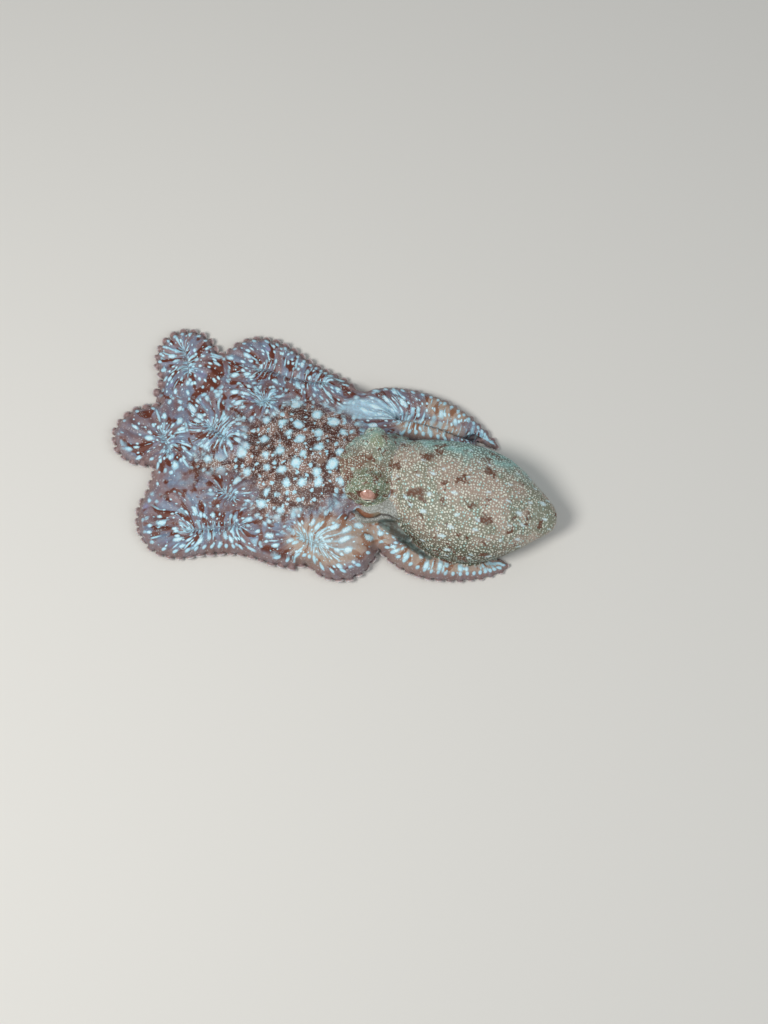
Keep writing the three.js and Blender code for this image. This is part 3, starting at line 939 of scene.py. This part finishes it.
def crown_paint(paint, place):
    """Rust brown under close-set freckles, with round pale blotches broken up at their edges."""
    freckle, _ = fine_freckles(paint, place)
    fuzz = paint.swing(place, 1.3, 2.6, 3.0, 0.7)
    far, blotch_luck = paint.cells(paint.waver(place, 6.0, 1.4), CROWN_BLOTCHES, 0.75)
    far = far + fuzz + blotch_luck[0] * 1.3
    blotch = paint.ease(3.4, 1.5, far)
    core = paint.ease(2.2, 0.8, far)
    far, middle_luck = paint.cells(paint.waver(place, 3.0, 1.0), SMALL_BLOTCHES, 0.95)
    far = far + fuzz * 0.5 + middle_luck[1] * 0.6
    middling = paint.ease(1.25, 0.6, far) * paint.ease(0.3, 0.4, middle_luck[0]) * 0.9
    blotch = paint.most(blotch, middling)
    cloud = paint.noise(paint.waver(place, 4.0, 2.5), 5.5, 3.0, 0.6)
    dark = paint.ease(0.45, 0.53, cloud) * (1 - blotch)
    ground = paint.mix(paint.ease(0.35, 0.65, paint.noise(place, 11.0)), CROWN_GROUND, CROWN_GREY)
    ground = paint.mix(dark * 0.92, ground, CROWN_DARK)
    freckle_share = freckle * (1 - dark * 0.6)
    colour = paint.mix(freckle_share, ground, CROWN_FRECKLE)
    colour = paint.mix(blotch * 0.93, colour, paint.mix(paint.most(freckle, core), CYAN, PALE_CYAN))
    return colour, freckle * 0.1 + blotch * 0.12


def pleat_paint(paint, place):
    """The streaks, spots and freckles of arms and web: colour, and height in millimetres."""
    cosine, sine, count = paint.stored("pleat_turn")
    run, pitch, seed = paint.stored("pleat_run")
    whole_share, margin, rim_distance = paint.stored("pleat_edge")
    share = whole_share * paint.ease(0.01, 0.16, margin)
    bright, ochre, _ = paint.stored("tones")
    _, _, quiet = paint.stored("small_shares")
    turn = paint.maths("ARCTAN2", sine, cosine)
    lanes = (turn * (1 / (2 * math.pi)) + 0.5) * count
    across = (paint.maths("FRACT", lanes) - 0.5) * pitch

    loud = 1 - quiet * 0.85
    large = lane_spots(paint, place, lanes, run, pitch, seed, LARGE_SPOTS)
    large = large * paint.blend(paint.ease(2, 6, run), 0.5, 1.0)
    rays = lane_spots(paint, place, lanes + 0.3, run, pitch, seed + 40, LONG_RAYS)
    small = lane_spots(paint, place, lanes + 0.5, run, pitch, seed + 20, SMALL_SPOTS)
    line_luck = paint.chances(paint.vector(paint.maths("FLOOR", lanes), seed, 3.0))
    reach = line_luck[0] * 5 + 1.0 + paint.ease(0, 0.5, bright) * 16
    width = 0.38 + bright * 0.4
    line = paint.ease(1.0, 0.25, paint.maths("ABSOLUTE", across) / width)
    line = line * paint.ease(1.0, 0.6, run / reach) * paint.ease(0.2, 0.7, paint.noise(place, 2.2))
    spots = paint.most(large * loud, rays * loud * 0.85, small * 0.95, line * 0.9)
    spots = spots * share

    far, luck = paint.cells(paint.waver(place, 5.0, 1.2), LOOSE_SPOTS, 0.9)
    far = far + paint.noise(place, 1.2, 3.0) * 1.2 + luck[1] * 0.5
    loose = paint.ease(2.3, 1.3, far) * paint.ease(0.25, 0.35, luck[0]) * loud
    spots = paint.most(spots, loose * (1 - share) * 0.85)

    rim_far = paint.length(paint.vector(across * 1.1, rim_distance - 1.9))
    rim_dot = paint.ease(1.1, 0.5, rim_far) * share
    rim = paint.ease(3.2, 1.2, rim_distance)
    spots = paint.most(spots * (1 - rim), rim_dot * 0.8)

    freckle_far, freckle_luck = paint.cells(place, LIMB_FRECKLES, 0.95, flat=False)
    freckle_far = freckle_far + freckle_luck[1] * 0.16
    freckle = paint.ease(0.48, 0.24, freckle_far) * paint.ease(0.15, 0.3, freckle_luck[0])

    drift = paint.vector(lanes * 0.8, run * 0.12, seed)
    patches = paint.noise(paint.waver(place, 6.0, 4.0), 7.0, 2.0)
    patches = paint.blend(share, patches, paint.noise(drift, 1.0, 1.5))
    rust = paint.ease(0.52, 0.575, patches)
    haze = paint.noise(paint.vector(lanes * 0.7, run * 0.07, seed), 1.0)
    haze = paint.blend(share, paint.noise(place, 8.0), haze)
    ground = paint.mix(paint.ease(0.4, 0.6, paint.noise(place, 16.0)), MAUVE, LILAC)
    tinged = paint.mix(paint.ease(0.6, 0.7, paint.noise(place, 5.0)), HAZE, LAVENDER)
    ground = paint.mix(paint.ease(0.38, 0.66, haze) * 0.75, ground, tinged)
    ground = paint.mix(ochre * 0.85, ground, OCHRE_GROUND)
    streaks = paint.noise(paint.vector(lanes * 1.6, run * 0.06, seed), 1.0, 3.0)
    glow = paint.ease(0.3, 1.0, bright) * paint.ease(0.22, 0.46, streaks)
    ground = paint.mix(glow * 0.9, ground, BRIGHT_HAZE)
    ground = paint.mix(rim * 0.7, ground, RIM)
    dark = paint.mix(ochre, RUST, OCHRE_DARK)
    ground = paint.mix(rust * (1 - rim) * (1 - bright), ground, dark)
    mottle = paint.ease(0.3, 0.7, paint.noise(place, 1.6, 3.0, 0.7))
    ground = paint.mix(mottle * 0.3, ground, dark)
    colour = paint.mix(freckle * 0.72, ground, FRECKLE)
    white = paint.ease(0.85, 1.35, spots + paint.noise(place, 1.8) * 0.4 + bright * 0.3)
    colour = paint.mix(spots, colour, paint.mix(white, CYAN, PALE_CYAN))
    height = spots * 0.12 + freckle * 0.08
    return colour, height


def mantle_paint(paint, place):
    """The close-set dots and dark blotches of the mantle."""
    along, round_way, _ = paint.stored("mantle_lie")
    lie = paint.vector(along, round_way)
    dot_far, dot_luck = paint.cells(paint.waver(lie, 3.0, 0.5), MANTLE_DOTS, 0.78)
    dot = paint.ease(0.48, 0.2, dot_far + (dot_luck[0] - 0.5) * 0.3)
    end_far, _ = paint.cells(place, END_DOTS, 0.75, flat=False)
    _, _, end = paint.stored("cuts")
    dot = paint.blend(end, dot, paint.ease(0.48, 0.22, end_far))
    long_lie = paint.vector(along * 0.6, round_way)
    spot_far, spot_luck = paint.cells(paint.waver(long_lie, 3.0, 1.0), MANTLE_SPOTS, 0.95)
    ragged = paint.noise(place, 1.2, 3.0) * 1.1
    spot = paint.ease(1.9, 0.9, spot_far + ragged + spot_luck[0] * 0.7)
    far_side = paint.ease(8, 27, round_way)
    near_side = paint.ease(-15, -34, round_way)
    cloud = paint.noise(paint.waver(place, 9.0, 5.0), 12.0, 3.0)
    ground = paint.mix(paint.ease(0.4, 0.6, cloud), TAUPE, GREY_GREEN)
    ground = paint.mix(near_side, ground, NEAR_GREEN)
    ground = paint.mix(far_side, ground, TEAL)
    blot = paint.noise(paint.waver(place, 4.0, 2.0), 5.5, 3.0, 0.6)
    rust = paint.ease(0.575, 0.645, blot)
    for (x, y), half_long, half_wide in MANTLE_PATCHES:
        shrink = {0: paint.waver(place, 2.0, 1.2), 1: (1 / half_long, 1 / half_wide, 0)}
        flat = paint.put("VectorMath", shrink, operation="MULTIPLY")
        gap = paint.distance(flat, (x / half_long, y / half_wide, 0))
        rust = paint.most(rust, paint.ease(1.3, 0.5, gap))
    ground = paint.mix(rust * 0.9, ground, BROWN)
    netting = paint.ease(0.35, 0.75, paint.noise(place, 1.1, 2.0, 0.6))
    ground = paint.mix(netting * 0.35, ground, NEAR_GREEN)
    dots = paint.mix(paint.ease(0.6, 0.9, dot_luck[1]), CREAM, TURQUOISE)
    dots = paint.mix(far_side, dots, FAR_DOTS)
    strong = 1 - rust * 0.8
    faint = paint.blend(near_side, 1.0, 0.75)
    colour = paint.mix(dot * strong * faint, ground, dots)
    teal_cloud = far_side * paint.ease(0.46, 0.6, paint.noise(place, 5.0)) * 0.75
    colour = paint.mix(teal_cloud, colour, FAR_LIGHT)
    colour = paint.mix(spot * 0.75, colour, PALE_CYAN)
    return colour, dot * 0.1 + spot * 0.05


def head_paint(paint, place):
    """The freckled head, green round the eyes."""
    dot, dot_luck = fine_freckles(paint, place)
    cloud = paint.noise(paint.waver(place, 5.0, 3.0), 7.0, 2.0)
    ground = paint.mix(paint.ease(0.4, 0.6, cloud), HEAD_GROUND, GREY_GREEN)
    greens = []
    for side, weight in (("left", 1), ("right", 0.3)):
        gap = paint.distance(place, tuple(eye_setting(side)[0]))
        greens.append(paint.ease(12, 7.5, gap) * weight)
    green = paint.most(*greens)
    ground = paint.mix(green * 0.9, ground, EYE_GREEN)
    far_edge = paint.ease(-9, 3, paint.parts(place)[1] + paint.noise(place, 4.0) * 4)
    ground = paint.mix(far_edge * 0.45, ground, FAR_LIGHT)
    gap = paint.distance(place, YELLOW_SPOT)
    ground = paint.mix(paint.ease(5, 2, gap) * 0.3, ground, YELLOW_GREEN)
    rust = paint.ease(0.52, 0.61, paint.noise(paint.waver(place, 3.0, 2.0), 4.2, 2.0))
    ground = paint.mix(rust * 0.85, ground, BROWN)
    netting = paint.ease(0.35, 0.75, paint.noise(place, 1.0, 2.0, 0.6))
    ground = paint.mix(netting * 0.4, ground, BROWN)
    strong = 1 - rust * 0.4
    dots = paint.mix(paint.ease(0.4, 0.8, dot_luck[1]), CREAM, TURQUOISE)
    colour = paint.mix(dot * strong, ground, dots)
    far, luck = paint.cells(place, HEAD_PATCHES, 0.95, flat=False)
    far = far + paint.noise(place, 1.1, 3.0) * 1.0 + luck[0] * 0.6
    patch = paint.ease(1.9, 1.0, far)
    colour = paint.mix(patch * 0.75, colour, TURQUOISE)
    return colour, dot * 0.09


def funnel_paint(paint, place):
    """The funnel: finely granular grey, olive below, brown at its tip."""
    far, _ = paint.cells(place, FUNNEL_GRAINS, 0.9, flat=False)
    grain = paint.ease(0.4, 0.2, far)
    _, _, height = paint.parts(place)
    low = paint.ease(12.5, 10.5, height + paint.swing(place, 3.0, 3))
    ground = paint.mix(low, FUNNEL_GREY, FUNNEL_OLIVE)
    netting = paint.ease(0.4, 0.7, paint.noise(place, 0.9, 2.0, 0.6))
    ground = paint.mix(netting * 0.35, ground, FUNNEL_OLIVE)
    colour = paint.mix(grain * 0.65, ground, GRAINS)
    return colour, grain * 0.06


def skin_material():
    """Each zone's own paint, with ragged edges between them, the painted shade in the hollow and
    along the cuts, and the brown places.
    """
    paint = Painter("octopus_skin")
    place = paint.millimetres()
    mantle_share, head_share, saddle = paint.stored("body_shares")
    funnel_share, brown_share, _ = paint.stored("small_shares")
    _, _, hollow = paint.stored("tones")
    edge = paint.swing(place, 2.0, 0.8)
    wide_edge = paint.swing(place, 6.0, 2.0, 4.0, 0.7)
    run, _, _ = paint.stored("pleat_run")
    on_crown = paint.ease(0.15, 0.75, saddle + wide_edge * 0.35)
    on_crown = on_crown * paint.ease(5, 14, run + wide_edge * 2)
    on_mantle = paint.ease(0.3, 0.7, mantle_share + edge)
    on_head = paint.ease(0.3, 0.7, head_share + edge)
    on_funnel = paint.ease(0.35, 0.65, funnel_share + edge * 0.5)
    colour, height = pleat_paint(paint, place)
    for share, recipe in ((on_crown, crown_paint), (on_head, head_paint),
                          (on_mantle, mantle_paint), (on_funnel, funnel_paint)):
        zone_colour, zone_height = recipe(paint, place)
        colour = paint.mix(share, colour, zone_colour)
        height = paint.blend(share, height, zone_height)
    # Painted shade in the hollow below the funnel: dark, with paler teal folds in it.
    folds = paint.ease(0.45, 0.6, paint.noise(place, 4.0, 3.0))
    gloom = paint.mix(folds * 0.4, HOLLOW_SHADE, HOLLOW_SHADE_PALE)
    hollow = hollow * paint.ease(0.35, 0.5, hollow) * (1 - on_mantle)
    colour = paint.mix(hollow * 0.95, colour, gloom)
    cut, tip, _ = paint.stored("cuts")
    tip_ground = paint.mix(paint.ease(16.5, 19.5, paint.parts(place)[0]), FUNNEL_TIP, FUNNEL_OLIVE)
    tip_ground = paint.mix(paint.noise(place, 1.2, 3.0, 0.6) * 0.5, tip_ground, BROWN)
    colour = paint.mix(paint.ease(0.3, 0.7, tip + edge * 0.4), colour, tip_ground)
    # Painted shade along the cuts and the slit.
    colour = paint.mix(cut * 0.85, colour, CUT_SHADE)
    brown_share = paint.ease(0.25, 0.75, brown_share + edge * 0.5)
    colour = paint.mix(brown_share * 0.95, colour, LID_BROWN)
    _, _, lid_edge = paint.stored("mantle_lie")
    colour = paint.mix(lid_edge * (1 - brown_share) * 0.4, colour, CREAM)
    height = height + paint.noise(place, 0.7, 3.0, 0.6) * 0.12
    rough = paint.blend(paint.noise(place, 3.0), 0.42, 0.62)
    paint.fleshy(0.1)
    return paint.finish(colour, rough, height)


dress(skin, skin_material())


# ---- eyeballs ----
def eyeball(side):
    """An eyeball with a cornea that bulges towards its gaze."""
    middle, gaze, along, up = eye_setting(side)
    only()
    bpy.ops.mesh.primitive_uv_sphere_add(segments=40, ring_count=24, radius=EYE_RADIUS * MM)
    ball = bpy.context.active_object
    for reach, rise in CORNEA_STEPS:
        select_faces(ball, face_values(ball, "center")[:, 2] > reach * EYE_RADIUS * MM)
        edit(ball)
        bpy.ops.transform.shrink_fatten(value=rise * MM)
        leave()
    shape = points_of(ball)
    set_points(ball, middle + shape @ np.stack((along, up, gaze)))
    shade_smooth(ball)
    ball.name = ball.data.name = side + "_eyeball"
    edit_all(ball)
    bpy.ops.mesh.normals_make_consistent(inside=False)
    leave()
    return ball


def eye_material(side):
    """Salmon iris and a level slit for a pupil."""
    paint = Painter(side + "_iris")
    ahead = outward(side, PUPIL_TILT)
    axes = (*slit_axes(ahead), ahead)
    place = paint.millimetres()
    middle = tuple(eye_setting(side)[0])
    ray = paint.put("VectorMath", {0: place, 1: middle}, operation="SUBTRACT")
    u, v, w = [paint.put("VectorMath", {0: ray, 1: tuple(axis)}, operation="DOT_PRODUCT",
                         out="Value") for axis in axes]
    bow = 1 - paint.maths("POWER", u * (1 / PUPIL_HALF_LENGTH), 2.0)
    gap = paint.maths("ABSOLUTE", v) - bow * PUPIL_HALF_HEIGHT
    front = paint.ease(0.5, 1.5, w)
    pupil = paint.ease(0.1, -0.05, gap) * front
    ring = paint.ease(1.1, 0.1, gap) * front
    cloud = paint.noise(place, 1.4, 3.0, 0.6)
    ground = paint.mix(paint.ease(0.35, 0.7, cloud), IRIS, IRIS_DARK)
    ground = paint.mix(ring * 0.7, ground, PUPIL_RING)
    colour = paint.mix(pupil, ground, PUPIL)
    paint.surface(Coat_Weight=0.8, Coat_Roughness=0.05)
    return paint.finish(colour, 0.3, cloud * 0.05)


def sucker_material():
    """Thin mauve cups with paler lips."""
    paint = Painter("sucker")
    lip = paint.put("Attribute", {}, out="Fac", attribute_name="lip")
    place = paint.millimetres()
    ground = paint.mix(paint.noise(place, 2.0), SUCKER, SUCKER_LIGHT)
    colour = paint.mix(lip * 0.8, ground, SUCKER_LIP)
    paint.fleshy(0.25)
    return paint.finish(colour, 0.4, paint.noise(place, 0.5) * 0.05)


for side in EYES:
    ball = eyeball(side)
    ball.data.materials.append(eye_material(side))
    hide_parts("eye_" + side)
    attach(ball, "root")
dress(suckers, sucker_material())
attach(suckers, "root")

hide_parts(*FLESH)
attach(skin, "root")

# ---- camera, light and floor ----
TARGET = Vector((23.12, -27.17, 0)) * MM
ELEVATION = math.radians(72)
DISTANCE = 777 * MM
view = bpy.data.cameras.new("view")
view.angle = math.radians(33)
camera = bpy.data.objects.new("camera", view)
bpy.context.scene.collection.objects.link(camera)
camera.location = TARGET + Vector((0, -math.cos(ELEVATION), math.sin(ELEVATION))) * DISTANCE
camera.rotation_euler = (math.pi / 2 - ELEVATION, 0, 0)
bpy.context.scene.camera = camera


def lamp(name, place, size, power, colour):
    light = bpy.data.lights.new(name, "AREA")
    light.shape = "DISK"
    light.size = size
    light.energy = power
    light.color = colour
    holder = bpy.data.objects.new(name, light)
    bpy.context.scene.collection.objects.link(holder)
    holder.location = place
    holder.rotation_euler = (-Vector(place)).to_track_quat("-Z", "Y").to_euler()


lamp("key_light", place=(-0.45, -0.25, 0.75), size=0.35, power=5.2, colour=(1, 0.99, 0.96))
lamp("fill_light", place=(0.6, -0.3, 0.7), size=0.8, power=2.2, colour=(0.95, 0.98, 1))
world = bpy.data.worlds.new("studio")
bpy.context.scene.world = world
world.use_nodes = True
glow = world.node_tree.nodes["Background"]
glow.inputs["Color"].default_value = (0.9, 0.95, 1, 1)
glow.inputs["Strength"].default_value = 0.3
bpy.context.scene.view_settings.view_transform = "Standard"

only()
bpy.ops.mesh.primitive_plane_add(size=4, location=(0, 0, 0))
floor = bpy.context.active_object
floor.name = "floor"
dress(floor, Painter("pale_floor").surface(Base_Color=(0.72, 0.70, 0.66, 1), Roughness=0.9))
